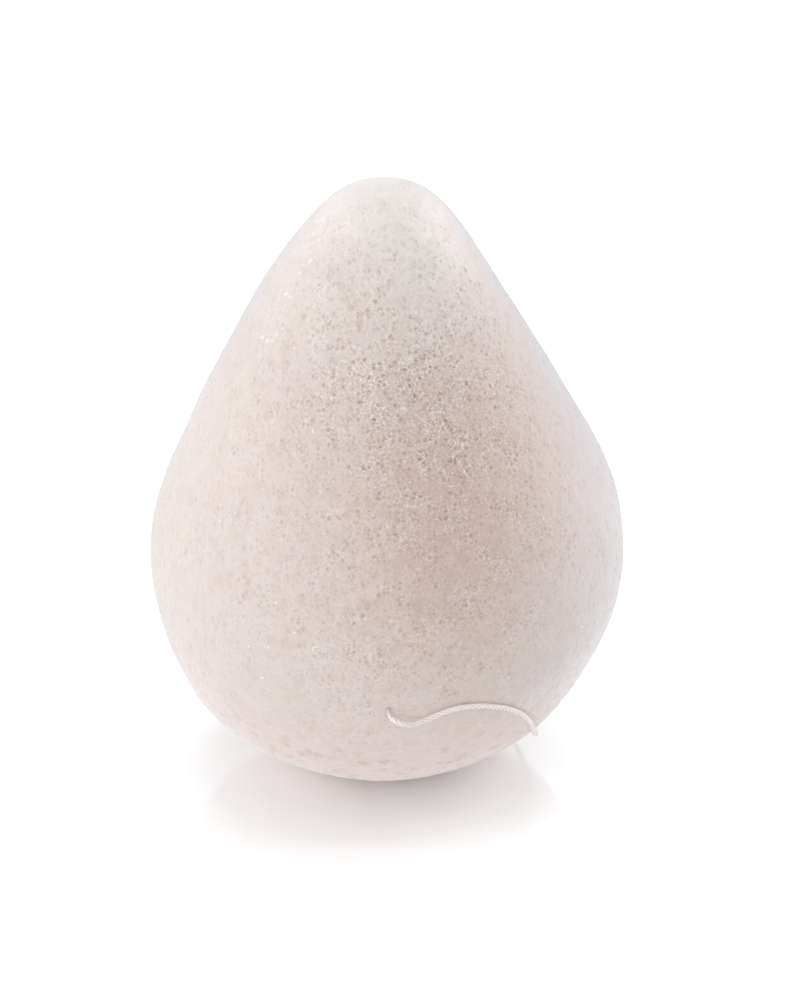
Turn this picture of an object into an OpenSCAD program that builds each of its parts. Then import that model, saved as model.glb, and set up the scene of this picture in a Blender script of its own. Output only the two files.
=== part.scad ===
// Konjac sponge: a moulded drop of fine plant-fibre foam, standing on its wide end.
// A thin twisted cord is threaded through its lower part, front to back.
// The cord's two ends leave the holes, come round behind the sponge and are tied into a hanging loop.
// Millimetres, +Z up. The origin is the centre of the flat base, and the front faces -Y.

/* [Sponge] */
// Height of the sponge, from its flat base to the top of its tip
body_h = 82.5; // [72:0.5:96]
// Greatest width of the sponge, across its belly
body_w = 62.8; // [56:0.2:70]
// Width of the flat base that the sponge stands on
base_w = 12.2; // [8:0.2:18]
// Radius of the rounded tip
tip_r = 10; // [7:0.1:14]
// Radius of the slightly bowed flank between the belly and the tip
flank_r = 185; // [90:1:400]

/* [Cord] */
// Diameter of the twisted cord
cord_d = 0.8; // [0.6:0.05:1]
// Height of the threaded channel above the base
channel_h = 21.6; // [20.6:0.1:22.6]
// How far the channel lies to the right of the middle
channel_x = 0.4; // [0:0.1:1]
// Clearance round the cord inside its channel
channel_gap = 0.1; // [0.05:0.01:0.15]

/* [Knot] */
// Length of the knot, along the two cord ends
knot_l = 3.6; // [3:0.1:5]
// Width of the knot, across its wraps
knot_w = 2.8; // [2.4:0.1:3.6]
// Number of wraps in the knot
knot_wraps = 3; // [2:1:4]
// Distance between the two cord ends where they enter and leave the knot, centre to centre
knot_pitch = 0.84; // [0.84:0.01:1.2]
// Rim of the knot's flat end outside the two cord ends
knot_rim = 0.1; // [0.05:0.01:0.2]
// Straight length of each cord end at the knot
knot_lead = 1; // [0.8:0.1:1.4]

/* [Hidden] */

// Steps that each round stretch is drawn with
belly_steps = 40;
flank_steps = 16;
tip_steps = 24;
tube_sides = 8;
round_steps = 96;
// How far a cut runs past what it cuts
overrun = 1;

// The belly is a ball cut flat by the base, the tip is a smaller ball, and the flank touches both from inside
belly_r = body_w / 2;
belly_h = sqrt(belly_r * belly_r - base_w * base_w / 4);
belly_c = [0, belly_h];
tip_c = [0, body_h - tip_r];
centres_apart = tip_c.y - belly_c.y;
belly_reach = flank_r - belly_r;
tip_reach = flank_r - tip_r;
flank_up = (belly_reach * belly_reach - tip_reach * tip_reach + centres_apart * centres_apart) / centres_apart / 2;
flank_c = [-sqrt(belly_reach * belly_reach - flank_up * flank_up), belly_h + flank_up];
// Directions, from the flank's centre, in which it touches the belly and the tip
belly_end = atan2(belly_c.y - flank_c.y, belly_c.x - flank_c.x);
tip_start = atan2(tip_c.y - flank_c.y, tip_c.x - flank_c.x);

// Places of the knot: it lies on the surface that the sponge stands on, behind the sponge
knot_c = [7.1, 48.4, knot_w / 2];
knot_front = knot_c.y - knot_l / 2;
knot_back = knot_c.y + knot_l / 2;
knot_left = knot_c.x - knot_pitch / 2;
knot_right = knot_c.x + knot_pitch / 2;
wrap_r = knot_l / knot_wraps / 2;

// The strand that shows: out of the front hole, round the right side under the belly, then along the surface behind
front_route = [
    [channel_x, -28.8, channel_h], [channel_x, -29.7, channel_h], [channel_x, -30.5, channel_h],
    [0.6, -31.4, 21.5], [1.1, -32, 21.2], [1.9, -32.2, 20.9], [2.8, -31.9, 20.5], [4.1, -31.1, 20.3],
    [5.7, -30.3, 20.6], [7.4, -29.8, 21.2], [9.1, -29.5, 21.6], [10.8, -28.9, 21.6], [12.5, -28, 21.2],
    [14.1, -26.9, 20.5], [15.6, -25.6, 19.6], [16.9, -24.2, 18.4], [18, -22.4, 16.8], [18.8, -20.4, 14.9],
    [19.3, -18, 12.7], [19.6, -15.3, 10.7], [19.9, -12.4, 8.9], [20, -9.4, 7.4], [20, -6.4, 6.3],
    [19.8, -3.4, 5.5], [19.5, -0.5, 4.9], [19.1, 2.4, 4.5], [18.6, 5.3, 4.2], [17.9, 8.1, 3.8],
    [17, 10.8, 3.2], [15.9, 13.4, 2.5], [14.6, 15.9, 1.7], [13.2, 18.4, 1], [11.8, 20.9, 0.6],
    [10.5, 23.5, 0.5], [9.5, 26.2, 0.5], [8.9, 29, 0.5], [8.8, 31.9, 0.5], [9.1, 34.7, 0.5],
    [9.3, 37.4, 0.5], [9.2, 39.9, 0.6], [8.6, 42.2, 0.8], [7.9, 44.2, 1.2],
    [knot_right, knot_front - knot_lead, knot_c.z], [knot_right, knot_front, knot_c.z]
];
// The strand behind: out of the back hole, down to the surface under its own weight and along it to the knot
back_route = [
    [channel_x, 28.8, channel_h], [channel_x, 29.8, channel_h], [channel_x, 30.8, channel_h],
    [0.4, 31.8, 21.3], [0.3, 32.6, 20.5], [0.2, 33, 19.2], [0.1, 33.2, 17.5], [0, 33.2, 15.5],
    [-0.2, 33.2, 13.4], [-0.4, 33.1, 11.2], [-0.6, 33.1, 9.1], [-0.8, 33.2, 7], [-1, 33.5, 5],
    [-1.2, 34.1, 3.2], [-1.4, 35.2, 1.8], [-1.5, 36.7, 0.9], [-1.2, 38.5, 0.6], [-0.3, 40.2, 0.5],
    [1, 41.4, 0.5], [2.5, 42.2, 0.5], [4.1, 42.8, 0.7], [5.4, 43.5, 0.9], [6.3, 44.5, 1.2],
    [knot_left, knot_front - knot_lead, knot_c.z], [knot_left, knot_front, knot_c.z]
];
// The two cut ends beyond the knot
left_tail_route = [
    [knot_left, knot_back, knot_c.z], [knot_left, knot_back + knot_lead, knot_c.z],
    [6.3, 52.7, 1], [5.5, 54.1, 0.6], [4.4, 55.2, 0.5]
];
right_tail_route = [
    [knot_right, knot_back, knot_c.z], [knot_right, knot_back + knot_lead, knot_c.z],
    [7.9, 52.8, 1], [8.7, 54.3, 0.6], [9.8, 55.6, 0.5], [10.9, 56.8, 0.5]
];

foam = [0.86, 0.8, 0.775];
cotton = [0.95, 0.94, 0.925];

// Points along an arc, from one direction to another
function arc(centre, radius, from, to, steps) =
    [for (i = [0:steps]) let (a = from + (to - from) * i / steps) centre + radius * [cos(a), sin(a)]];

// Right half of the drop's outline: base, belly, flank and tip
function drop_outline() = concat(
    [[0, 0]],
    arc(belly_c, belly_r, -acos(base_w / body_w), belly_end, belly_steps),
    arc(flank_c, flank_r, belly_end, tip_start, flank_steps),
    arc(tip_c, tip_r, tip_start, 90, tip_steps)
);

function unit(v) = v / norm(v);

// The way that a route runs at point i, from the point before to the point after
function heading(route, i) = unit(route[min(i + 1, len(route) - 1)] - route[max(i - 1, 0)]);

// One ring of a tube, square to the route at point i
function ring(route, i, d) =
    let (along = heading(route, i), across = unit(cross(along, [0, 0, 1])), up = cross(across, along))
    [for (k = [0:tube_sides - 1])
        let (a = 360 * k / tube_sides) route[i] + d / 2 * (cos(a) * across + sin(a) * up)];

// A closed tube that follows a route, with a ring at each of its points
module tube(route, d) {
    last = len(route) - 1;
    points = [for (i = [0:last]) each ring(route, i, d)];
    walls = [for (i = [0:last - 1], k = [0:tube_sides - 1])
        let (a = i * tube_sides + k, b = i * tube_sides + (k + 1) % tube_sides)
        each [[a, b, b + tube_sides], [a, b + tube_sides, a + tube_sides]]];
    start = [for (k = [1:tube_sides - 2]) [0, k + 1, k]];
    end = [for (k = [1:tube_sides - 2]) [0, k, k + 1] + last * tube_sides * [1, 1, 1]];
    polyhedron(points, concat(walls, start, end));
}

// A cylinder along +Y, from one height of y to another
module along_y(x, z, from, to, d) {
    translate([x, from, z])
        rotate([-90, 0, 0])
            cylinder(d = d, h = to - from, $fn = round_steps);
}

// Moulded foam drop with its threaded channel
module sponge_body() {
    color(foam)
        difference() {
            rotate_extrude($fn = round_steps)
                polygon(drop_outline());
            along_y(channel_x, channel_h, -belly_r - overrun, belly_r + overrun, cord_d + 2 * channel_gap);
        }
}

// The stretch of cord inside the sponge, from hole to hole: it turns in the channel like a pin
module threaded_cord() {
    color(cotton)
        along_y(channel_x, channel_h, front_route[0].y, back_route[0].y, cord_d);
}

module front_strand() {
    color(cotton)
        tube(front_route, cord_d);
}

module back_strand() {
    color(cotton)
        tube(back_route, cord_d);
}

// Overhand knot that joins both strands: a core with its wraps round it
module loop_knot() {
    color(cotton)
        translate([knot_c.x, knot_front, knot_c.z])
            rotate([-90, 0, 0])
                rotate_extrude($fn = round_steps)
                    union() {
                        square([knot_pitch / 2 + cord_d / 2 + knot_rim, knot_l]);
                        for (i = [0:knot_wraps - 1])
                            translate([knot_w / 2 - wrap_r, (2 * i + 1) * wrap_r])
                                circle(r = wrap_r, $fn = round_steps);
                    }
}

module left_tail() {
    color(cotton)
        tube(left_tail_route, cord_d);
}

module right_tail() {
    color(cotton)
        tube(right_tail_route, cord_d);
}

sponge_body();
threaded_cord();
front_strand();
back_strand();
loop_knot();
left_tail();
right_tail();
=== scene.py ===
import math

import bpy
import numpy as np
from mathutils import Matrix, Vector


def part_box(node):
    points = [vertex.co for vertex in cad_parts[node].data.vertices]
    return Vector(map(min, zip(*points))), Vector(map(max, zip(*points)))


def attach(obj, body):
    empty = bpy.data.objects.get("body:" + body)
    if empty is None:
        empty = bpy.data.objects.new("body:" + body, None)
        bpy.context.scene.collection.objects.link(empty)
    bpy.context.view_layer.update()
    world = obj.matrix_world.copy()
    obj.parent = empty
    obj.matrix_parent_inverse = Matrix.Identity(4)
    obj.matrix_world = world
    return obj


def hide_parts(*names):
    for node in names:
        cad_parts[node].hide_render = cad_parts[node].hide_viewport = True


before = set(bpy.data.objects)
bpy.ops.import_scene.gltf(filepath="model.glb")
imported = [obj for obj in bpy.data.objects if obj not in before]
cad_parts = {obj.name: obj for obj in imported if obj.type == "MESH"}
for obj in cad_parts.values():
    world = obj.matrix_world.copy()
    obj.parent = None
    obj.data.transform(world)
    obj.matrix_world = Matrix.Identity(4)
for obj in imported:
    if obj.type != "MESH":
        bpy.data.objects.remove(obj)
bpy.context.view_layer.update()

# Konjac sponge: a porous foam drop with a twisted cotton cord through it, knotted into a hanging loop behind
# Metres, +Z up, the front faces -Y, and the origin is the middle of the flat base
mm = 0.001
print("frame loaded")

# The camera stands where the photograph was taken from, 25 degrees above the floor
cameraView = {
    "target": (0.00186, 0.0, 0.0374),
    "distance": 0.59067,
    "elevation": 25.0,
    "lens": 160.0,
    "sensor": 36.0,
    "clip": (0.01, 20.0),
}


def makeCamera(view):
    lift = math.radians(view["elevation"])
    away = Vector((0.0, -math.cos(lift), math.sin(lift)))
    data = bpy.data.cameras.new("photoCamera")
    data.lens = view["lens"]
    data.sensor_width = view["sensor"]
    data.clip_start, data.clip_end = view["clip"]
    camera = bpy.data.objects.new("photoCamera", data)
    bpy.context.scene.collection.objects.link(camera)
    camera.location = Vector(view["target"]) + away * view["distance"]
    camera.rotation_euler = (-away).to_track_quat("-Z", "Y").to_euler()
    bpy.context.scene.camera = camera


makeCamera(cameraView)


# Rows of vectors, each divided by its length
def unitRows(rows):
    return rows / np.linalg.norm(rows, axis=-1, keepdims=True)


# Soft step: 3t^2 - 2t^3, where t is how far x has come from start to end, from 0 to 1
def smoothStep(start, end, x):
    t = np.clip((x - start) / (end - start), 0.0, 1.0)
    return t * t * (3.0 - 2.0 * t)


# Soft hill: e to minus the square of x's distance from the middle, counted in widths
def softHill(middle, width, x):
    return np.exp(-((x - middle) / width) ** 2)


# Length gone along a line, at each of its points
def lengthGone(line):
    return np.concatenate([[0.0], np.cumsum(np.linalg.norm(np.diff(line, axis=0), axis=1))])


# The same line as a number of points at equal lengths from each other
def evenLine(line, count):
    gone = lengthGone(line)
    stations = np.linspace(0.0, gone[-1], count)
    return np.column_stack([np.interp(stations, gone, column) for column in line.T])


# Faces of a grid that is closed round each ring, and a fan from each end ring to its pole
# Point r * columns + c is column c of ring r, and the two poles come after the last ring
def ringFaces(rings, columns):
    here = np.arange(columns)
    after = (here + 1) % columns
    row = np.arange(rings - 1)[:, None] * columns
    above = row + columns
    quads = np.stack([row + here, row + after, above + after, above + here], -1).reshape(-1, 4)
    first, last = rings * columns, rings * columns + 1
    top = (rings - 1) * columns
    fans = np.vstack([
        np.column_stack([np.full(columns, first), after, here]),
        np.column_stack([np.full(columns, last), top + here, top + after]),
    ])
    return quads, fans


# Puts arrays of points, quads and triangles into a mesh whose object sits at the origin
# A layout gives each corner of each face its place on a flat map
def makePiece(name, points, quads, fans, shades=None, layout=None):
    mesh = bpy.data.meshes.new(name)
    loops = np.concatenate([quads.ravel(), fans.ravel()]).astype(np.int32)
    starts = np.concatenate([np.arange(len(quads)) * 4, len(quads) * 4 + np.arange(len(fans)) * 3])
    mesh.vertices.add(len(points))
    mesh.vertices.foreach_set("co", np.ascontiguousarray(points, np.float32).ravel())
    mesh.loops.add(len(loops))
    mesh.loops.foreach_set("vertex_index", loops)
    mesh.polygons.add(len(starts))
    mesh.polygons.foreach_set("loop_start", starts.astype(np.int32))
    mesh.polygons.foreach_set("use_smooth", np.ones(len(starts), bool))
    mesh.update(calc_edges=True)
    for shade, values in (shades or {}).items():
        mesh.attributes.new(shade, "FLOAT", "POINT").data.foreach_set("value", values.astype(np.float32))
    if layout is not None:
        layer = mesh.uv_layers.new(name="OFBake")
        layer.uv.foreach_set("vector", np.ascontiguousarray(layout, np.float32).ravel())
    mesh.validate()
    piece = bpy.data.objects.new(name, mesh)
    bpy.context.scene.collection.objects.link(piece)
    return piece


# The cord is three cotton plies twisted together, and its route repeats the points of the CAD model
cordLook = {
    "diameter": 0.8 * mm,
    "plies": 3,
    "twistLength": 2.3 * mm,     # one full turn of a ply
    "ringStep": 0.075 * mm,
    "pointsPerPly": 10,
    "laidShare": 0.9,            # width of the twisted cord, against its nominal diameter
    "creaseShare": 0.93,         # how far the ply centres stand out, against plies that only touch
    "gripShare": 0.55,           # the foam holds the cord tight where it comes out of a hole
    "gripEnds": (1.2 * mm, 4.4 * mm),        # where it starts to widen, and where it is as wide as elsewhere
    "frontTurn": 0.0,            # how far the plies are turned at the hole, in radians
    "backTurn": 0.7,
}
frontRoute = [
    [0.4, -28.8, 21.6], [0.4, -29.7, 21.6], [0.4, -30.5, 21.6],
    [0.6, -31.4, 21.5], [1.1, -32, 21.2], [1.9, -32.2, 20.9], [2.8, -31.9, 20.5], [4.1, -31.1, 20.3],
    [5.7, -30.3, 20.6], [7.4, -29.8, 21.2], [9.1, -29.5, 21.6], [10.8, -28.9, 21.6], [12.5, -28, 21.2],
    [14.1, -26.9, 20.5], [15.6, -25.6, 19.6], [16.9, -24.2, 18.4], [18, -22.4, 16.8], [18.8, -20.4, 14.9],
    [19.3, -18, 12.7], [19.6, -15.3, 10.7], [19.9, -12.4, 8.9], [20, -9.4, 7.4], [20, -6.4, 6.3],
    [19.8, -3.4, 5.5], [19.5, -0.5, 4.9], [19.1, 2.4, 4.5], [18.6, 5.3, 4.2], [17.9, 8.1, 3.8],
    [17, 10.8, 3.2], [15.9, 13.4, 2.5], [14.6, 15.9, 1.7], [13.2, 18.4, 1], [11.8, 20.9, 0.6],
    [10.5, 23.5, 0.5], [9.5, 26.2, 0.5], [8.9, 29, 0.5], [8.8, 31.9, 0.5], [9.1, 34.7, 0.5],
    [9.3, 37.4, 0.5], [9.2, 39.9, 0.6], [8.6, 42.2, 0.8], [7.9, 44.2, 1.2],
    [7.52, 45.6, 1.4], [7.52, 46.6, 1.4],
]
backRoute = [
    [0.4, 28.8, 21.6], [0.4, 29.8, 21.6], [0.4, 30.8, 21.6],
    [0.4, 31.8, 21.3], [0.3, 32.6, 20.5], [0.2, 33, 19.2], [0.1, 33.2, 17.5], [0, 33.2, 15.5],
    [-0.2, 33.2, 13.4], [-0.4, 33.1, 11.2], [-0.6, 33.1, 9.1], [-0.8, 33.2, 7], [-1, 33.5, 5],
    [-1.2, 34.1, 3.2], [-1.4, 35.2, 1.8], [-1.5, 36.7, 0.9], [-1.2, 38.5, 0.6], [-0.3, 40.2, 0.5],
    [1, 41.4, 0.5], [2.5, 42.2, 0.5], [4.1, 42.8, 0.7], [5.4, 43.5, 0.9], [6.3, 44.5, 1.2],
    [6.68, 45.6, 1.4], [6.68, 46.6, 1.4],
]
leftTailRoute = [[6.68, 50.2, 1.4], [6.68, 51.2, 1.4], [6.3, 52.7, 1], [5.5, 54.1, 0.6], [4.4, 55.2, 0.5]]
rightTailRoute = [
    [7.52, 50.2, 1.4], [7.52, 51.2, 1.4], [7.9, 52.8, 1],
    [8.7, 54.3, 0.6], [9.8, 55.6, 0.5], [10.9, 56.8, 0.5],
]
threadedRoute = [[0.4, -28.8, 21.6], [0.4, -10, 21.6], [0.4, 10, 21.6], [0.4, 28.8, 21.6]]


# A smooth line through given points in millimetres: between two of them it is the cubic that leaves
# each with the slope of its neighbours, and the line is then cut into equal steps
def smoothLine(route, step, cuts=16):
    knots = np.asarray(route, float) * mm
    held = np.vstack([2 * knots[0] - knots[1], knots, 2 * knots[-1] - knots[-2]])
    t = np.linspace(0.0, 1.0, cuts, endpoint=False)[None, :, None]
    before, start, end, after = (held[i:len(knots) - 1 + i, None] for i in range(4))
    curve = 0.5 * (
        2 * start
        + (end - before) * t
        + (2 * before - 5 * start + 4 * end - after) * t ** 2
        + (3 * start - before - 3 * end + after) * t ** 3
    )
    curve = np.vstack([curve.reshape(-1, 3), knots[-1:]])
    return evenLine(curve, round(lengthGone(curve)[-1] / step) + 1)


# Side and up directions for each ring: the side is carried from ring to ring without turning about the line
# The first side is square to the line and to a direction that no line here starts in
def carriedSides(line, free=(0.31, 0.17, 0.93)):
    along = unitRows(np.gradient(line, axis=0))
    side = np.empty_like(along)
    side[0] = unitRows(np.cross(along[0], free))
    for ring in range(1, len(line)):
        kept = side[ring - 1] - along[ring] * np.dot(side[ring - 1], along[ring])
        side[ring] = kept / np.linalg.norm(kept)
    return side, np.cross(along, side)


# Rings round a line, and the line's two ends
# Each ring point stands its size away from the line, in the direction cos(turn) * side + sin(turn) * up
def ringsRound(line, size, turn):
    side, up = carriedSides(line)
    outward = np.cos(turn)[..., None] * side[:, None] + np.sin(turn)[..., None] * up[:, None]
    rings = line[:, None] + size[..., None] * outward
    return np.vstack([rings.reshape(-1, 3), line[:1], line[-1:]])


# Skin of a twisted cord: the outline of three round plies side by side, turned steadily along the line
# At angle a from the nearest ply's middle the outline lies at R cos a + sqrt(r^2 - R^2 sin^2 a)
def twistedSkin(line, look, startTurn=0.0, squeeze=1.0):
    half = math.pi / look["plies"]
    spread = look["creaseShare"] / math.sin(half)
    plyRadius = look["laidShare"] * look["diameter"] / 2 / (1.0 + spread)
    plyCentre = plyRadius * spread
    columns = look["plies"] * look["pointsPerPly"]
    around = np.arange(columns) * 2 * math.pi / columns
    fromPly = (around + half) % (2 * half) - half
    outline = plyCentre * np.cos(fromPly) + np.sqrt(plyRadius ** 2 - (plyCentre * np.sin(fromPly)) ** 2)
    gone = lengthGone(line)
    turn = around[None] + startTurn + (2 * math.pi / look["twistLength"]) * gone[:, None]
    size = outline[None] * np.broadcast_to(squeeze, (len(line),))[:, None]
    across = np.concatenate([np.tile(fromPly / half, len(line)), [0.0, 0.0]])
    run = np.concatenate([np.repeat(gone, columns), [0.0, gone[-1]]])
    shades = {"plyCrease": np.abs(across), "plyAcross": across, "cordRun": run}
    return ringsRound(line, size, turn), *ringFaces(len(line), columns), shades


# Several skins joined in one set of arrays
def joinSkins(skins):
    points, quads, fans, shades = [], [], [], {}
    count = 0
    for skinPoints, skinQuads, skinFans, skinShades in skins:
        points.append(skinPoints)
        quads.append(skinQuads + count)
        fans.append(skinFans + count)
        for name, values in skinShades.items():
            shades.setdefault(name, []).append(values)
        count += len(skinPoints)
    shades = {name: np.concatenate(values) for name, values in shades.items()}
    return np.vstack(points), np.vstack(quads), np.vstack(fans), shades


# Share of the cord's full width at each ring, from the hole outwards
def gripped(line, look):
    gone = np.arange(len(line)) * look["ringStep"]
    return look["gripShare"] + (1 - look["gripShare"]) * smoothStep(*look["gripEnds"], gone)


# A strand outside the sponge: it starts in its hole, where the foam squeezes it
def makeStrand(name, line, look, startTurn):
    return makePiece(name, *twistedSkin(line, look, startTurn, gripped(line, look)))


frontLine = smoothLine(frontRoute, cordLook["ringStep"])
backLine = smoothLine(backRoute, cordLook["ringStep"])
threadedLine = smoothLine(threadedRoute, 2 * cordLook["ringStep"])
frontCord = makeStrand("frontCord", frontLine, cordLook, cordLook["frontTurn"])
backCord = makeStrand("backCord", backLine, cordLook, cordLook["backTurn"])
threadedCord = makePiece("threadedCord", *twistedSkin(threadedLine, cordLook))
print("cords made", len(frontLine), len(backLine))

# Both cut ends of the cord: they thin out at the tip, where a few fibres have come loose
tailLook = {
    "tipLength": 0.7 * mm,
    "tipShare": 0.55,
    "headingPoints": 8,          # the last points of the cord give its heading
    "fibres": 14,
    "fibreLength": 1.1 * mm,
    "fibreWidth": 0.035 * mm,
    "fibreSides": 5,
    "fibreRings": 6,
    "fibreRoot": 0.3 * mm,       # how deep in the cord a fibre starts
    "fibreReach": (0.5, 1.0),    # shortest and longest, against the fibre length
    "fibreTaper": (0.5, 0.15),   # radius at its root and its tip, against the fibre width
    "lean": 0.45,                # spread of the directions
    "lift": 0.35,                # and how much of it is left upwards
    "droop": 0.25,
}


# Loose fibres: each is a thin cone that leans its own way from the cord's end
# It droops with the square of the distance from its root
def looseFibres(tip, heading, look, seed):
    random = np.random.default_rng(seed)
    turn = np.arange(look["fibreSides"])[None] * 2 * math.pi / look["fibreSides"]
    radius = np.linspace(*look["fibreTaper"], look["fibreRings"])[:, None] * look["fibreWidth"]
    droop = np.array([0.0, 0.0, -look["droop"]])
    skins = []
    for _ in range(look["fibres"]):
        lean = random.normal(0.0, look["lean"], 3)
        lean[2] = abs(lean[2]) * look["lift"]
        longest = look["fibreLength"] * random.uniform(*look["fibreReach"])
        reach = np.linspace(0.0, longest, look["fibreRings"])[:, None]
        line = tip - heading * look["fibreRoot"] + unitRows(heading + lean) * reach
        line = line + droop * reach ** 2 / look["fibreLength"]
        line[:, 2] = np.maximum(line[:, 2], look["fibreWidth"])
        points = ringsRound(line, radius, turn)
        blank = np.zeros(len(points))
        shades = {"plyCrease": blank, "plyAcross": blank, "cordRun": blank}
        skins.append((points, *ringFaces(look["fibreRings"], look["fibreSides"]), shades))
    return skins


# A cut end: the twisted cord, thinner over its last stretch, and its loose fibres
def makeTail(name, route, startTurn, seed):
    line = smoothLine(route, cordLook["ringStep"])
    left = np.linspace(len(line) - 1, 0, len(line)) * cordLook["ringStep"]
    thinning = (1 - tailLook["tipShare"]) * smoothStep(0.0, tailLook["tipLength"], left)
    skins = [twistedSkin(line, cordLook, startTurn, tailLook["tipShare"] + thinning)]
    heading = unitRows(line[-1] - line[-tailLook["headingPoints"]])
    return makePiece(name, *joinSkins(skins + looseFibres(line[-1], heading, tailLook, seed)))


leftTail = makeTail("leftTail", leftTailRoute, startTurn=0.4, seed=5)
rightTail = makeTail("rightTail", rightTailRoute, startTurn=1.3, seed=6)

# Overhand knot that both ends are tied in: they go straight in, turn back round themselves and leave inside
knotLook = {
    "centre": (7.1, 48.4, 1.4),  # in millimetres, like all lengths here apart from the diameter
    "length": 3.6,
    "pitch": 0.84,
    "nearShare": 0.8,            # how close the two cords lie inside, against their pitch
    "nearRun": 0.9,              # how far in from the knot's ends they lie that close
    "coreShare": 0.86,           # the cord is squeezed in the knot
    "squeezeRun": 0.25,          # share of each cord in which it gets thin
    "coreTurns": (0.9, 2.1),     # how far the plies are turned where a cord starts, in radians
    "wrapRadius": 1.04,
    "wrapDiameter": 0.72 * mm,
    "turns": 1.75,
    "startTurn": 2.2,
    "diveShare": 0.35,           # radius at which a wrap's ends lie, inside the core, against its full one
    "wrapRun": 2.1,              # how far a wrap runs along the knot, and how far it lies off the middle
    "wrapShift": 0.37,
    "wrapPoints": 260,
    "riseShare": 0.2,            # share of a wrap in which it rises from the core, or dives into it
    "wrapTurns": (0.2, 1.6),
}


# One wrap: a helix about the knot's axis that comes out of the core at one end and dives into it at the other
# Its radius is the full one times a soft step up and a soft step down, and it runs along the axis steadily
def wrapLine(look, shift):
    t = np.linspace(0.0, 1.0, look["wrapPoints"])
    risen = smoothStep(0.0, look["riseShare"], t) * smoothStep(1.0, 1.0 - look["riseShare"], t)
    radius = look["wrapRadius"] * (look["diveShare"] + (1 - look["diveShare"]) * risen)
    turn = 2 * math.pi * look["turns"] * t + look["startTurn"]
    run = look["wrapRun"] * (t - 0.5) + shift
    line = np.array(look["centre"]) + np.column_stack([radius * np.cos(turn), run, radius * np.sin(turn)])
    return line * mm


# The knot: two cords side by side that are closer and thinner in the middle, with one wrap round each half
def makeKnot(look):
    x, y, z = look["centre"]
    front, back = y - look["length"] / 2, y + look["length"] / 2
    innerFront, innerBack = front + look["nearRun"], back - look["nearRun"]
    skins = []
    for way, startTurn in zip((-1, 1), look["coreTurns"]):
        outside = way * look["pitch"] / 2
        edge, inner = x + outside, x + outside * look["nearShare"]
        route = [[edge, front, z], [inner, innerFront, z], [inner, innerBack, z], [edge, back, z]]
        line = smoothLine(route, cordLook["ringStep"])
        gone = np.linspace(0.0, 1.0, len(line))
        middle = smoothStep(0.0, look["squeezeRun"], gone) * smoothStep(1.0, 1.0 - look["squeezeRun"], gone)
        skins.append(twistedSkin(line, cordLook, startTurn, 1 - (1 - look["coreShare"]) * middle))
    wrapCord = dict(cordLook, diameter=look["wrapDiameter"])
    for way, startTurn in zip((-1, 1), look["wrapTurns"]):
        skins.append(twistedSkin(wrapLine(look, way * look["wrapShift"]), wrapCord, startTurn))
    return makePiece("cordKnot", *joinSkins(skins))


cordKnot = makeKnot(knotLook)
print("knot and tails made")

# The sponge: a ball below, a smaller ball at the tip and a slightly bowed flank between them
low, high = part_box("sponge_body")
sponge = {
    "beltRadius": (high.x - low.x) / 2,
    "height": high.z,
    "baseRadius": 6.1 * mm,
    "tipRadius": 10 * mm,
    "flankRadius": 185 * mm,
    "arcPoints": 400,
    "columns": 1000,
    "rings": 600,
    # Unevenness of the photographed drop by height, in millimetres, apart from the widening's sizes
    # A step is its size, start and end, and a hill is its size, middle and width
    "slim": {"hills": [(-0.25, 50, 10)]},
    "widen": {"steps": [(0.03, 18, 8)], "hills": [(0.05, 0, 4)]},
    "lean": {
        "steps": [(-0.75, 48, 70), (-0.45, 25, 8), (0.4, 66, 76), (-0.2, 26, 16)],
        "hills": [(0.3, 41, 12), (-0.18, 52, 7)],
    },
    "fuller": {"steps": [(0.55, 60, 76), (-0.35, 75, 81.5)], "hills": [(0.22, 27, 9), (-0.13, 44, 5)]},
    # Pores, and the grain: how strongly they show, by height and round one place
    "poreCell": 0.95 * mm,
    "poreSalt": 11,
    "poreGap": (0.02, 0.5),      # a pore deepens between these, counted from its wall
    "poreLeast": 0.3,            # depth of the shallowest, against the deepest
    "poreDepth": 0.15 * mm,
    "poreFloor": (0.3, 0.35),    # added to the grain, and the pore level that lies on the plain form
    "grain": 0.42,
    "grainAlong": {"steps": [(-0.07, 22, 6), (-0.16, 72, 82)]},
    "grainPatch": (0.4, (5, 61), (12, 11)),      # how much more, and the middle and width of the place
    # Wider, shallow dips
    "dipCell": 2.6 * mm,
    "dipSalt": 31,
    "dipReach": (0.36, 0.06),    # distance from its seed, in cells
    "dipChance": (0.3, 0.7),     # random numbers from which a dip shows, and shows in full
    "dipDepth": 0.09 * mm,
    "lumpCell": 9.0 * mm,
    "lumpDepth": 0.16 * mm,
    "lumps": [(1.0, 1.0, 51), (0.5, 2.3, 61)],   # share, how much finer, and salt of each set
    # The foam closes round the cord at both holes
    "hole": (0.4, 21.6),
    "outside": 20,               # millimetres from the middle, front and back
    "mouthDepth": 0.35 * mm,
    "mouthReach": (0.45, 0.25),
    "mouthDip": 0.25 * mm,
    "mouthDipReach": (1.7, 0.2),
    "footRise": (0.0, 1.5),      # the relief fades out towards the floor
}


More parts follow.
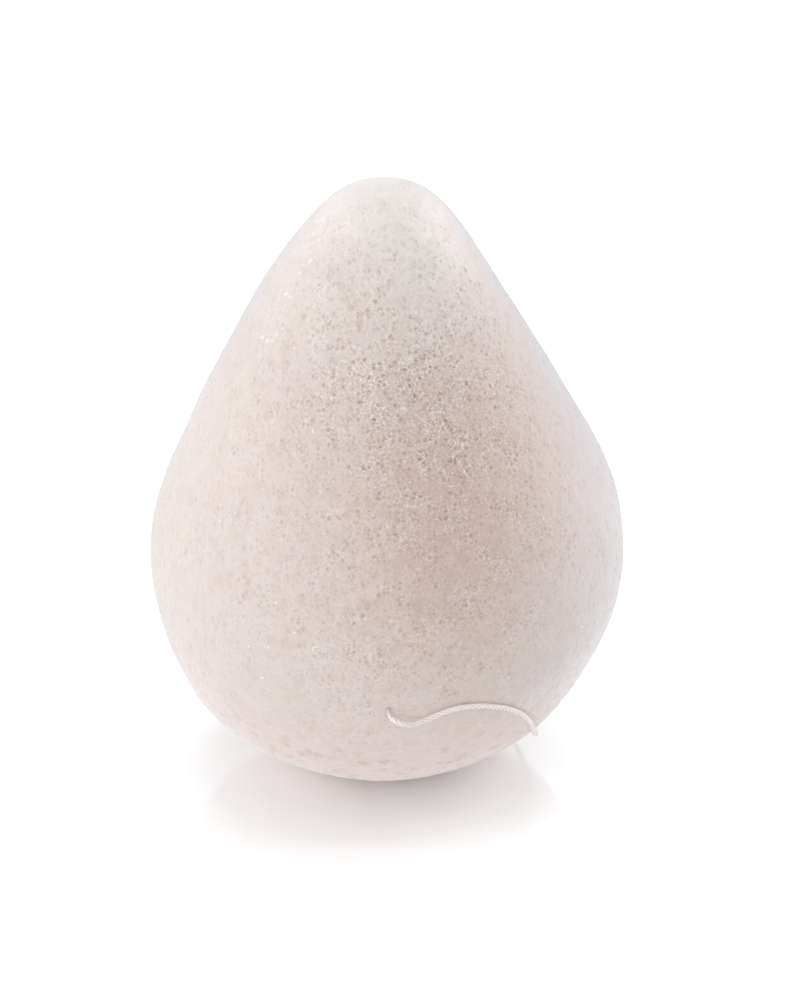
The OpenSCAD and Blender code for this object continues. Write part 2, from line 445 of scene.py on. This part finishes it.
# Right half of the drop's outline in equal steps: the flat base, and arcs of the belly, the flank and the tip
# The flank's circle touches both balls, so its middle is as far from each one's middle as their radii differ
def dropOutline(look):
    belt, tip, flank = look["beltRadius"], look["tipRadius"], look["flankRadius"]
    beltHeight = math.sqrt(belt ** 2 - look["baseRadius"] ** 2)
    tipHeight = look["height"] - tip
    apart = tipHeight - beltHeight
    up = ((flank - belt) ** 2 - (flank - tip) ** 2 + apart ** 2) / apart / 2
    flankX, flankZ = -math.sqrt((flank - belt) ** 2 - up ** 2), beltHeight + up
    bellyEnd = math.atan2(beltHeight - flankZ, -flankX)
    tipStart = math.atan2(tipHeight - flankZ, -flankX)
    bellyStart = -math.acos(look["baseRadius"] / belt)

    def arc(centre, radius, start, end):
        a = np.linspace(start, end, look["arcPoints"])
        return np.column_stack([centre[0] + radius * np.cos(a), centre[1] + radius * np.sin(a)])

    line = np.vstack([
        [[0.0, 0.0]],
        arc((0, beltHeight), belt, bellyStart, bellyEnd),
        arc((flankX, flankZ), flank, bellyEnd, tipStart)[1:],
        arc((0, tipHeight), tip, tipStart, math.pi / 2)[1:],
    ])
    return evenLine(line, look["rings"] + 2)


# Odd factors and shifts that mix whole numbers of 32 bits so well that neighbours come out unlike
mixing = {
    "range": 2 ** 32,
    "axes": (73856093, 19349663, 83492791),
    "salt": 2654435761,
    "rounds": ((16, 0x7FEB352D), (15, 0x846CA68B)),
    "lastShift": 16,
}


# A steady random number from 0 to 1 for each whole-numbered cell: its three numbers are mixed into one
def cellRandom(cells, salt):
    mixed = cells.astype(np.uint32) * np.array(mixing["axes"], np.uint32)
    number = mixed[..., 0] ^ mixed[..., 1] ^ mixed[..., 2]
    number = number ^ np.uint32(salt * mixing["salt"] % mixing["range"])
    for shift, factor in mixing["rounds"]:
        number = (number ^ (number >> np.uint32(shift))) * np.uint32(factor)
    number = number ^ (number >> np.uint32(mixing["lastShift"]))
    return number.astype(np.float64) / mixing["range"]


# Foam cells: one seed is thrown into each box of a 3-D lattice
# Gives the distance to the nearest seed, to the next nearest, and the nearest seed's own random number
def foamCells(points, size, salt):
    place = points / size
    home = np.floor(place).astype(np.int64)
    nearest = np.full(len(points), np.inf)
    second = np.full(len(points), np.inf)
    own = np.zeros(len(points))
    for step in np.ndindex(3, 3, 3):
        box = home + np.array(step) - 1
        seed = box + np.stack([cellRandom(box, salt + k) for k in range(3)], -1)
        gap = np.linalg.norm(seed - place, axis=1)
        closer = gap < nearest
        second = np.where(closer, nearest, np.minimum(second, gap))
        own = np.where(closer, cellRandom(box, salt + 3), own)
        nearest = np.where(closer, gap, nearest)
    return nearest, second, own


# Smooth lumps from -1 to 1: random numbers on a 3-D lattice, blended between its corners with soft steps
def softLumps(points, size, salt):
    place = points / size
    home = np.floor(place).astype(np.int64)
    share = smoothStep(0.0, 1.0, place - home)
    total = np.zeros(len(points))
    for corner in np.ndindex(2, 2, 2):
        weight = np.prod(np.where(np.array(corner), share, 1.0 - share), axis=1)
        total += weight * cellRandom(home + np.array(corner), salt)
    return total * 2.0 - 1.0


# Sum of soft steps and soft hills over the height
def profile(z, steps=(), hills=()):
    total = np.zeros_like(z)
    for size, start, end in steps:
        total = total + size * smoothStep(start, end, z)
    for size, middle, width in hills:
        total = total + size * softHill(middle, width, z)
    return total


# Soft patch: the product of a soft hill across and one over the height
def softPatch(x, z, middle, width):
    return softHill(middle[0], width[0], x) * softHill(middle[1], width[1], z)


# Distance from the axis of the cord's channel, in millimetres
def fromMouth(x, z, look):
    return np.hypot(x - look["hole"][0], z - look["hole"][1])


# Relief of the foam at each point, along its normal, and its pores, dips and grain
# It is fuller or slimmer places and lumps, less open pores, less wide dips, less a mouth at each hole
def foamRelief(points, look):
    nearest, second, own = foamCells(points, look["poreCell"], look["poreSalt"])
    pore = smoothStep(*look["poreGap"], second - nearest)
    pore = pore * (look["poreLeast"] + (1 - look["poreLeast"]) * own)
    middle, _, dipOwn = foamCells(points, look["dipCell"], look["dipSalt"])
    dip = smoothStep(*look["dipReach"], middle) * smoothStep(*look["dipChance"], dipOwn)
    lumps = sum(
        share * softLumps(points, look["lumpCell"] / finer, salt)
        for share, finer, salt in look["lumps"]
    )
    x, y, z = points.T / mm
    more, patchMiddle, patchWidth = look["grainPatch"]
    grain = look["grain"] + profile(z, **look["grainAlong"])
    grain = grain + more * softPatch(x, z, patchMiddle, patchWidth)
    gap = fromMouth(x, z, look)
    mouth = look["mouthDepth"] * smoothStep(*look["mouthReach"], gap)
    mouth = mouth + look["mouthDip"] * smoothStep(*look["mouthDipReach"], gap)
    least, kept = look["poreFloor"]
    push = (
        profile(z, **look["fuller"]) * mm
        + look["lumpDepth"] * lumps
        - look["poreDepth"] * (least + grain) * (pore - kept)
        - look["dipDepth"] * dip
        - mouth * (np.abs(y) > look["outside"])
    )
    return push * smoothStep(*look["footRise"], z), pore, dip, grain


# Where the foam's looks change, in millimetres: a pair is where a change starts and where it is full
# A patch is its middle and its width, each across and up
shading = {
    "calmLeft": (-2, -14),
    "calmShare": 0.22,
    # The warm patch is painted shade: a darker, more saturated beige on the front, right of the middle, where
    # the least light falls
    "warmPatch": ((0, 47), (14, 19.5)),
    "warmSide": (12, -12),       # from the back to the front it moves to the right
    "warmShift": 8.5,
    "warmBehind": (-5, 15),      # and from the front to the back it fades
    "warmFade": 0.5,
    # The greyer, cooler right side is painted shade, set against the light from the right
    "right": (10, 28),
    "rightHigh": (45, 75),       # high up it begins nearer to the middle
    "rightShift": 8,
    # The paler tip is partly painted light, set against the lamps: it begins higher on the left, fades on the
    # right and is held back at the upper left by the dull patch
    "tip": (60, 82),
    "tipTilt": 8,                # for every 8 to the left it begins 1 higher
    "tipRight": (6, 12),
    "tipFade": 0.5,
    "dullPatch": ((-7, 72), (7, 8)),
    "dullShare": 0.6,
    "glintLeft": (-3, -12),
    "glintHigh": (58, 76),
    # Painted shade at the edges high up: cooler and darker on the right, and half as much on the upper left
    "edgeRight": (2, 10),
    "edgeRightHigh": (30, 50),
    "edgeLeft": (-4, -12),
    "edgeLeftHigh": (52, 66),
    "edgeLeftShare": 0.5,
    # The paler foot is painted light, standing in for light off the floor
    "foot": (26, 6),
    # Painted shade near the floor and round both holes, where the dips also show more
    "dimFoot": (22, 8),
    "dimHole": (0.9, 0.3),
}


# The shades that the foam's material reads: products of soft steps and patches; most mark painted light or
# shade, while the pore, dip and grain shades follow the foam's own relief
def foamShades(points, look, pore, dip, grain):
    x, y, z = points.T / mm

    def part(name, value):
        return smoothStep(*shading[name], value)

    # Painted shade patch on the front, right of the middle, weaker behind
    warm = softPatch(x - shading["warmShift"] * part("warmSide", y), z, *shading["warmPatch"])
    dull = softPatch(x, z, *shading["dullPatch"])
    tip = part("tip", z + x / shading["tipTilt"]) * (1 - shading["dullShare"] * dull)
    edgeRight = part("edgeRight", x) * part("edgeRightHigh", z)
    edgeLeft = part("edgeLeft", x) * part("edgeLeftHigh", z)
    mouth = part("dimHole", fromMouth(x, z, look)) * (np.abs(y) > look["outside"])
    return {
        "poreShade": pore,
        "dipShade": dip,
        "grainShade": grain * (1 - shading["calmShare"] * part("calmLeft", x)),
        "warmShade": warm * (1 - shading["warmFade"] * part("warmBehind", y)),
        "rightShade": part("right", x + shading["rightShift"] * part("rightHigh", z)),
        "tipShade": tip * (1 - shading["tipFade"] * part("tipRight", x)),
        "glintShade": part("glintLeft", x) * part("glintHigh", z),
        "sideShade": edgeRight + shading["edgeLeftShare"] * edgeLeft,
        "footShade": part("foot", z),
        "holeAndFloorShade": mouth + part("dimFoot", z),
    }


# The sponge's flat map: once round from left to right, and the outline from bottom to top
def dropLayout(rings, columns):
    here = np.arange(columns) / columns
    after = here + 1 / columns
    level = np.arange(1, rings + 1)[:, None] / (rings + 1) + np.zeros(columns)
    across = np.broadcast_to(np.stack([here, after, after, here], -1), (rings - 1, columns, 4))
    upward = np.stack([level[:-1], level[:-1], level[1:], level[1:]], -1)
    walls = np.stack([across, upward], -1).reshape(-1, 2)
    middle = (here + after) / 2
    low, high = np.full(columns, level[0, 0]), np.full(columns, level[-1, 0])
    foot = np.stack([np.stack([middle, after, here], -1), np.stack([low * 0, low, low], -1)], -1)
    top = np.stack([np.stack([middle, here, after], -1), np.stack([high * 0 + 1, high, high], -1)], -1)
    return np.vstack([walls, foot.reshape(-1, 2), top.reshape(-1, 2)])


# Grid of the drop: ring r is a circle at one step of the outline, slimmed, widened and shifted by its height
# Each point then moves along its normal by the foam's relief
def makeSponge(look):
    outline = dropOutline(look)
    radius, height = outline[1:-1, 0], outline[1:-1, 1]
    around = np.arange(look["columns"]) * 2 * math.pi / look["columns"]
    slope = unitRows(np.gradient(outline, axis=0)[1:-1])
    z = height / mm
    radius = radius + profile(z, **look["slim"]) * mm
    widen = 1 + profile(z, **look["widen"])
    lean = profile(z, **look["lean"]) * mm
    rings = np.stack([
        radius[:, None] * np.cos(around) * widen[:, None] + lean[:, None],
        radius[:, None] * np.sin(around),
        np.repeat(height[:, None], look["columns"], 1),
    ], -1)
    normals = np.stack([
        slope[:, 1:] * np.cos(around),
        slope[:, 1:] * np.sin(around),
        np.repeat(-slope[:, :1], look["columns"], 1),
    ], -1)
    points = np.vstack([rings.reshape(-1, 3), [[0.0, 0.0, 0.0]], [[lean[-1], 0.0, look["height"]]]])
    normals = np.vstack([normals.reshape(-1, 3), [[0.0, 0.0, -1.0]], [[0.0, 0.0, 1.0]]])
    push, *relief = foamRelief(points, look)
    shades = foamShades(points, look, *relief)
    points = points + normals * push[:, None]
    points[:, 2] = np.maximum(points[:, 2], 0.0)
    size = look["rings"], look["columns"]
    return makePiece("spongeFoam", points, *ringFaces(*size), shades, dropLayout(*size))


spongeFoam = makeSponge(sponge)
print("sponge made", len(spongeFoam.data.polygons), "faces")


# Places a node in a tree, and sets or links its sockets
def place(tree, kind, sockets=None, **settings):
    made = tree.nodes.new("ShaderNode" + kind)
    for name, value in settings.items():
        setattr(made, name, value)
    for name, value in (sockets or {}).items():
        if isinstance(value, bpy.types.NodeSocket):
            tree.links.new(value, made.inputs[name])
        else:
            made.inputs[name].default_value = value
    return made


# A screen colour from 0 to 255 as the linear values that shaders take, by the sRGB formula
def rgb(red, green, blue):
    channels = np.array([red, green, blue]) / 255
    linear = np.where(channels <= 0.04045, channels / 12.92, ((channels + 0.055) / 1.055) ** 2.4)
    return (*linear, 1.0)


def newMaterial(name):
    material = bpy.data.materials.new(name)
    material.use_nodes = True
    tree = material.node_tree
    tree.nodes.clear()
    return material, tree


# Smooth step of a value between two levels, as a node
def stepNode(tree, value, start, end, low=0.0, high=1.0):
    sockets = {"Value": value, "From Min": start, "From Max": end, "To Min": low, "To Max": high}
    return place(tree, "MapRange", sockets, interpolation_type="SMOOTHSTEP").outputs["Result"]


# Two values put through one operation, as a node
def mathNode(tree, operation, first, second, clamped=False):
    return place(tree, "Math", {0: first, 1: second}, operation=operation, use_clamp=clamped).outputs[0]


def timesNode(tree, first, second):
    return mathNode(tree, "MULTIPLY", first, second)


# Two colours mixed: they are the node's inputs 6 and 7, and the result is its output 2
def mixNode(tree, factor, first, second, blend="MIX"):
    sockets = {"Factor": factor, 6: first, 7: second}
    return place(tree, "Mix", sockets, data_type="RGBA", blend_type=blend).outputs[2]


# A colour multiplied by a tint
def tinted(tree, colour, tint):
    return mixNode(tree, 1.0, colour, tint, "MULTIPLY")


def noiseNode(tree, coords, scale, detail):
    return place(tree, "TexNoise", {"Vector": coords, "Scale": scale, "Detail": detail}).outputs["Fac"]


def shadeOf(tree, name):
    return place(tree, "Attribute", attribute_name=name).outputs["Fac"]


# Colour that drifts softly, for any natural fibre
# A noise mixes two tints, and the colour is multiplied by the mix
driftLook = {
    "inputs": {
        "Color": "Color",
        "First Tint": "Color",
        "Second Tint": "Color",
        "Vector": "Vector",
        "Scale": "Float",
    },
    "detail": 2.0,
    "edge": (0.35, 0.65),        # noise levels where one tint ends and where the other begins
}


def makeDrift(look):
    group = bpy.data.node_groups.new("tintDrift", "ShaderNodeTree")
    for name, kind in look["inputs"].items():
        group.interface.new_socket(name, in_out="INPUT", socket_type="NodeSocket" + kind)
    group.interface.new_socket("Color", in_out="OUTPUT", socket_type="NodeSocketColor")
    entry = group.nodes.new("NodeGroupInput").outputs
    noise = noiseNode(group, entry["Vector"], entry["Scale"], look["detail"])
    share = stepNode(group, noise, *look["edge"])
    tint = mixNode(group, share, entry["First Tint"], entry["Second Tint"])
    leave = group.nodes.new("NodeGroupOutput")
    group.links.new(tinted(group, entry["Color"], tint), leave.inputs["Color"])
    return group


driftGroup = makeDrift(driftLook)


def driftNode(tree, coords, colour, scale, firstTint, secondTint):
    made = tree.nodes.new("ShaderNodeGroup")
    made.node_tree = driftGroup
    tree.links.new(coords, made.inputs["Vector"])
    tree.links.new(colour, made.inputs["Color"])
    made.inputs["Scale"].default_value = scale
    made.inputs["First Tint"].default_value = (*firstTint, 1.0)
    made.inputs["Second Tint"].default_value = (*secondTint, 1.0)
    return made.outputs["Color"]


# Coordinates bent by a soft noise, so that cells have no straight walls
def bentCoords(tree, coords, scale, reach):
    noise = place(tree, "TexNoise", {"Vector": coords, "Scale": scale, "Detail": 1.0}).outputs["Color"]
    shift = place(tree, "VectorMath", {0: noise, 1: (0.5, 0.5, 0.5)}, operation="SUBTRACT").outputs[0]
    shift = place(tree, "VectorMath", {0: shift, "Scale": reach}, operation="SCALE").outputs[0]
    return place(tree, "VectorMath", {0: shift, 1: coords}, operation="ADD").outputs[0]


# Open cells: how far each point is from its cell's wall and from its middle, and the cell's own random number
def cellNodes(tree, coords, scale):
    walls = place(tree, "TexVoronoi", {"Vector": coords, "Scale": scale}, feature="DISTANCE_TO_EDGE")
    cells = place(tree, "TexVoronoi", {"Vector": coords, "Scale": scale}, feature="F1")
    own = place(tree, "SeparateColor", {0: cells.outputs["Color"]}).outputs[0]
    return walls.outputs["Distance"], cells.outputs["Distance"], own


foamLook = {
    "side": rgb(226, 215, 212),
    # Painted shade: the warm patch's darker beige
    "warm": rgb(215, 193, 185),
    # Painted shade: the greyer right side
    "right": rgb(222, 214, 215),
    # Partly painted light: the paler tip
    "tip": rgb(247, 242, 241),
    # Painted light: the paler foot
    "foot": rgb(236, 218, 216),
    # Painted light, mixed in towards the outline
    "rimLight": rgb(240, 236, 236),
    # Paler struts, and the colour of the painted glints and gleam
    "strut": rgb(255, 250, 247),
    "pitTint": (0.62, 0.46, 0.37, 1.0),      # what the deepest pit multiplies the colour by, partly painted shade in the pit and partly its warmer tone
    # What a pore or a dip multiplies the colour by: partly painted shade in these hollows
    "dipTint": (0.875, 0.82, 0.78, 1.0),
    "edgeShadeTint": (0.87, 0.89, 0.93, 1.0),     # and what the painted edge shade multiplies it by near both edges
    # Drifts over the foam: noise cells a metre, and two tints
    "drifts": (
        (700.0, (1.0, 0.987, 0.962), (1.0, 1.004, 1.01)),
        (380.0, (0.985, 0.975, 0.965), (1.01, 1.008, 1.008)),
        (120.0, (1.003, 0.995, 0.985), (1.0, 1.0, 1.008)),
    ),
    # Patterns, in cells a metre: the net's are 0.65 mm each
    "netScale": 1550.0,
    "fineScale": 2600.0,
    "spotScale": 480.0,
    "grainScale": 3300.0,
    "glintScale": 1900.0,
    "clumpScale": 300.0,
    "netBend": (1500.0, 0.0005),             # noise cells a metre that bend it, and how far in metres
    "spotBend": (1100.0, 0.0012),
    # Soft steps: from and to, and the levels there where they aren't 0 and 1
    "pitEdge": (0.62, 0.05),
    "pitOwn": (0.15, 1.0, 0.08, 1.0),
    "finePitEdge": (0.55, 0.05),
    "finePitOwn": (0.2, 1.0, 0.0, 0.5),
    "strutEdge": (0.25, 0.0),
    "strutGrain": (0.43, 0.6),
    "spotEdge": (0.6, 0.15),
    "spotOwn": (0.2, 0.8),
    "facingContrast": (0.05, 0.6, 1.05, 0.3),
    "clumpContrast": (0.35, 0.65, 0.7, 1.3),
    "dipClear": (0.1, 0.5, 0.25, 0.6),
    "strutClear": (0.1, 1.0, 0.03, 0.8),
    "glint": (0.835, 0.87, 0.0, 0.8),
    "gleamClump": (0.44, 0.6),
    "gleam": (0.56, 0.68, 0.0, 0.75),
    "rimFacing": (0.55, 1.0, 0.0, 0.4),
    "edgeFacing": (0.42, 0.8),
    "bumpClear": (0.0, 0.8, 0.15, 0.55),
    "roughness": (0.3, 0.7, 0.72, 0.95),
    # How strong the painted shade near the holes and the floor is, the grain's share of the relief, and the
    # relief's depth
    "dimShare": 0.25,
    "grainShare": 0.5,
    "bumpDepth": 0.12 * mm,
}


# Foam: pits are darker and warmer, partly painted shade, struts are paler, and the tints drift over a few
# millimetres
# Towards its outline the pits hardly show, and painted light makes the foam paler there
def foamFinish(look):
    material, tree = newMaterial("foamFinish")
    coords = place(tree, "TexCoord").outputs["Object"]

    def step(name, value):
        return stepNode(tree, value, *look[name])

    # The patterns, and how much of them shows
    bent = bentCoords(tree, coords, *look["netBend"])
    wall, middle, own = cellNodes(tree, bent, look["netScale"])
    _, fineMiddle, fineOwn = cellNodes(tree, bent, look["fineScale"])
    _, fromSpot, spotOwn = cellNodes(tree, bentCoords(tree, coords, *look["spotBend"]), look["spotScale"])
    grain = noiseNode(tree, coords, look["grainScale"], detail=2.0)
    clump = noiseNode(tree, coords, look["clumpScale"], detail=2.0)
    glint = noiseNode(tree, coords, look["glintScale"], detail=0.0)
    facing = place(tree, "LayerWeight", {"Blend": 0.5}).outputs["Facing"]
    pit = timesNode(tree, step("pitEdge", middle), step("pitOwn", own))
    finePit = timesNode(tree, step("finePitEdge", fineMiddle), step("finePitOwn", fineOwn))
    depth = mathNode(tree, "ADD", pit, finePit, clamped=True)
    strut = timesNode(tree, step("strutEdge", wall), step("strutGrain", grain))
    spot = timesNode(tree, step("spotEdge", fromSpot), step("spotOwn", spotOwn))
    contrast = timesNode(tree, shadeOf(tree, "grainShade"), step("facingContrast", facing))
    contrast = timesNode(tree, contrast, step("clumpContrast", clump))
    # Ground colour by region: painted shade in the warm patch and on the right side, painted light at the tip
    # and the foot
    ground = look["side"]
    for name in ("right", "warm", "tip", "foot"):
        ground = mixNode(tree, shadeOf(tree, name + "Shade"), ground, look[name])
    for drift in look["drifts"]:
        ground = driftNode(tree, coords, ground, *drift)
    # Pits, pores and dips: darker, partly painted shade in these hollows and partly the foam's own tone
    ground = mixNode(tree, timesNode(tree, depth, contrast), ground, tinted(tree, ground, look["pitTint"]))
    soft = tinted(tree, ground, look["dipTint"])
    ground = mixNode(tree, timesNode(tree, shadeOf(tree, "poreShade"), contrast), ground, soft)
    holeFloorShade = shadeOf(tree, "holeAndFloorShade")
    deeper = mixNode(tree, holeFloorShade, soft, tinted(tree, soft, look["dipTint"]))
    dips = mathNode(tree, "MAXIMUM", spot, shadeOf(tree, "dipShade"))
    clear = mathNode(tree, "MAXIMUM", holeFloorShade, step("dipClear", contrast))
    ground = mixNode(tree, timesNode(tree, dips, clear), ground, deeper)
    # Struts, painted glints, painted light towards the outline, painted shade near a hole and the floor, and
    # painted shade at the high edges
    ground = mixNode(tree, timesNode(tree, strut, step("strutClear", contrast)), ground, look["strut"])
    ground = mixNode(tree, step("glint", glint), ground, look["strut"])
    gleam = timesNode(tree, step("gleamClump", clump), step("gleam", glint))
    ground = mixNode(tree, timesNode(tree, gleam, shadeOf(tree, "glintShade")), ground, look["strut"])
    ground = mixNode(tree, step("rimFacing", facing), ground, look["rimLight"])
    ground = mixNode(tree, timesNode(tree, holeFloorShade, look["dimShare"]), ground, soft)
    edge = timesNode(tree, shadeOf(tree, "sideShade"), step("edgeFacing", facing))
    ground = mixNode(tree, edge, ground, tinted(tree, ground, look["edgeShadeTint"]))
    # Relief
    relief = mathNode(tree, "SUBTRACT", strut, depth)
    relief = place(tree, "Math", {0: grain, 1: look["grainShare"], 2: relief}, operation="MULTIPLY_ADD")
    bump = place(tree, "Bump", {
        "Height": relief.outputs[0],
        "Strength": step("bumpClear", contrast),
        "Distance": look["bumpDepth"],
    })
    shader = place(tree, "BsdfPrincipled", {
        "Base Color": ground,
        "Roughness": step("roughness", grain),
        "Normal": bump.outputs[0],
        "Specular IOR Level": 0.25,
        "Sheen Weight": 0.6,
        "Sheen Roughness": 0.5,
    })
    place(tree, "OutputMaterial", {"Surface": shader.outputs[0]})
    return material


cottonLook = {
    "ply": rgb(255, 248, 247),
    # Painted shade between the plies, also the colour of the fine threads
    "crease": rgb(236, 222, 221),
    "threadRun": 900.0,          # noise cells a metre along the cord, and per half ply across it
    "threadAcross": 2.6,
    "creaseEdge": (0.45, 1.0),
    "threadShade": (0.6, 0.35, 0.0, 0.3),
    "drift": (300.0, (1.0, 0.995, 0.985), (0.99, 0.985, 0.99)),
    "bumpDepth": 0.06 * mm,
    "roughness": (0.3, 0.7, 0.35, 0.6),
}


# Cotton: bright plies with darker creases, painted shade between the plies, drawn out along the twist into
# fine threads
def cottonFinish(look):
    material, tree = newMaterial("cottonFinish")
    coords = place(tree, "TexCoord").outputs["Object"]
    across = timesNode(tree, shadeOf(tree, "plyAcross"), look["threadAcross"])
    run = timesNode(tree, shadeOf(tree, "cordRun"), look["threadRun"])
    drawn = place(tree, "CombineXYZ", {"X": across, "Y": run}).outputs[0]
    threads = noiseNode(tree, drawn, scale=1.0, detail=3.0)
    crease = stepNode(tree, shadeOf(tree, "plyCrease"), *look["creaseEdge"])
    tone = mixNode(tree, crease, look["ply"], look["crease"])
    tone = mixNode(tree, stepNode(tree, threads, *look["threadShade"]), tone, look["crease"])
    tone = driftNode(tree, coords, tone, *look["drift"])
    bump = place(tree, "Bump", {"Height": threads, "Strength": 0.4, "Distance": look["bumpDepth"]})
    shader = place(tree, "BsdfPrincipled", {
        "Base Color": tone,
        "Roughness": stepNode(tree, threads, *look["roughness"]),
        "Normal": bump.outputs[0],
        "Specular IOR Level": 0.6,
        "Sheen Weight": 0.6,
        "Sheen Roughness": 0.35,
    })
    place(tree, "OutputMaterial", {"Surface": shader.outputs[0]})
    return material


def dress(piece, material):
    piece.data.materials.clear()
    piece.data.materials.append(material)


cotton = cottonFinish(cottonLook)
dress(spongeFoam, foamFinish(foamLook))
for piece in (frontCord, backCord, threadedCord, cordKnot, leftTail, rightTail):
    dress(piece, cotton)
print("materials made")

floorLook = {
    "size": 6.0,
    "reflect": (0.762, 0.796, 0.808, 1.0),       # a touch cool, against the warm light off the foam
    "nearGlow": (0.0185, 0.04, 0.055, 0.39),     # from and to how far out, and the levels there
    "farGlow": (0.03, 0.15, 0.0, 0.6),
    "mirror": (0.053, 0.027, 0.0, 0.21),
    "mirrorBlur": 0.08,
}


# Floor: pale and matt, with a glow that only the camera sees, so that it reads as a white table with a shadow
# The glow is weakest near the object and grows outwards, painted light that lightens the shadow's outer part
# Close to the object it mirrors faintly
def makeFloor(look):
    half = look["size"] / 2
    points = np.array([[-half, -half, 0], [half, -half, 0], [half, half, 0], [-half, half, 0]])
    piece = makePiece("floor", points, np.array([[0, 1, 2, 3]]), np.zeros((0, 3), int))
    material, tree = newMaterial("floorFinish")
    coords = place(tree, "TexCoord").outputs["Object"]
    away = place(tree, "VectorMath", {0: coords}, operation="LENGTH").outputs["Value"]
    matt = place(tree, "BsdfDiffuse", {"Color": look["reflect"]})
    gloss = stepNode(tree, away, *look["mirror"])
    gloss = place(tree, "CombineXYZ", {"X": gloss, "Y": gloss, "Z": gloss}).outputs[0]
    mirror = place(tree, "BsdfAnisotropic", {"Color": gloss, "Roughness": look["mirrorBlur"]})
    seen = place(tree, "LightPath").outputs["Is Camera Ray"]
    near, far = (stepNode(tree, away, *look[name]) for name in ("nearGlow", "farGlow"))
    glow = timesNode(tree, seen, mathNode(tree, "ADD", near, far))
    light = place(tree, "Emission", {"Strength": glow})
    both = place(tree, "AddShader", {0: matt.outputs[0], 1: light.outputs[0]})
    both = place(tree, "AddShader", {0: both.outputs[0], 1: mirror.outputs[0]})
    place(tree, "OutputMaterial", {"Surface": both.outputs[0]})
    dress(piece, material)


makeFloor(floorLook)

# World: white to the camera, in reflections and through glass, and softer as a light
worldLight = {"shine": 0.15}


def makeWorld(look):
    world = bpy.data.worlds.new("studio")
    world.use_nodes = True
    tree = world.node_tree
    tree.nodes.clear()
    path = place(tree, "LightPath").outputs
    seen = mathNode(tree, "MAXIMUM", path["Is Camera Ray"], path["Is Glossy Ray"])
    seen = mathNode(tree, "MAXIMUM", seen, path["Is Transmission Ray"])
    # Inputs 2 and 3 of the node are its two numbers
    level = place(tree, "Mix", {"Factor": seen, 2: look["shine"], 3: 1.0}, data_type="FLOAT")
    back = place(tree, "Background", {"Color": (1.0, 1.0, 1.0, 1.0), "Strength": level.outputs[0]})
    place(tree, "OutputWorld", {"Surface": back.outputs[0]})
    bpy.context.scene.world = world


makeWorld(worldLight)

# Soft square lamps round the object: azimuth 0 is in front and 90 on the right, and powers are in watts
lampLook = {"distance": 0.75, "size": 0.45, "aim": (0.0, 0.0, 0.035)}
lamps = [
    {"name": "frontLamp", "azimuth": 0, "height": 15, "power": 2.2},
    {"name": "frontHighLamp", "azimuth": 0, "height": 45, "power": 0.55},
    {"name": "rightLamp", "azimuth": 120, "height": 15, "power": 2.5},
    {"name": "rightHighLamp", "azimuth": 100, "height": 45, "power": 0.9},
    {"name": "backHighLamp", "azimuth": 160, "height": 45, "power": 0.95},
    {"name": "backLamp", "azimuth": 240, "height": 15, "power": 1.5},
    {"name": "leftLamp", "azimuth": 280, "height": 15, "power": 2.2},
    {"name": "leftHighLamp", "azimuth": 280, "height": 45, "power": 0.2},
    {"name": "topLamp", "azimuth": 180, "height": 75, "power": 0.9},
]


def makeLamp(lamp, look):
    data = bpy.data.lights.new(lamp["name"], "AREA")
    data.shape = "SQUARE"
    data.size = look["size"]
    data.energy = lamp["power"]
    made = bpy.data.objects.new(lamp["name"], data)
    bpy.context.scene.collection.objects.link(made)
    turn, lift = math.radians(lamp["azimuth"]), math.radians(lamp["height"])
    away = Vector((math.sin(turn) * math.cos(lift), -math.cos(turn) * math.cos(lift), math.sin(lift)))
    made.location = Vector(look["aim"]) + away * look["distance"]
    made.rotation_euler = (-away).to_track_quat("-Z", "Y").to_euler()


for lamp in lamps:
    makeLamp(lamp, lampLook)
bpy.context.scene.view_settings.view_transform = "Standard"
print("stage made")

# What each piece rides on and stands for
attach(spongeFoam, "sponge")
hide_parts("sponge_body")
for piece, node in (
    (threadedCord, "threaded_cord"),
    (frontCord, "front_strand"),
    (backCord, "back_strand"),
    (cordKnot, "loop_knot"),
    (leftTail, "left_tail"),
    (rightTail, "right_tail"),
):
    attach(piece, "loop")
    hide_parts(node)
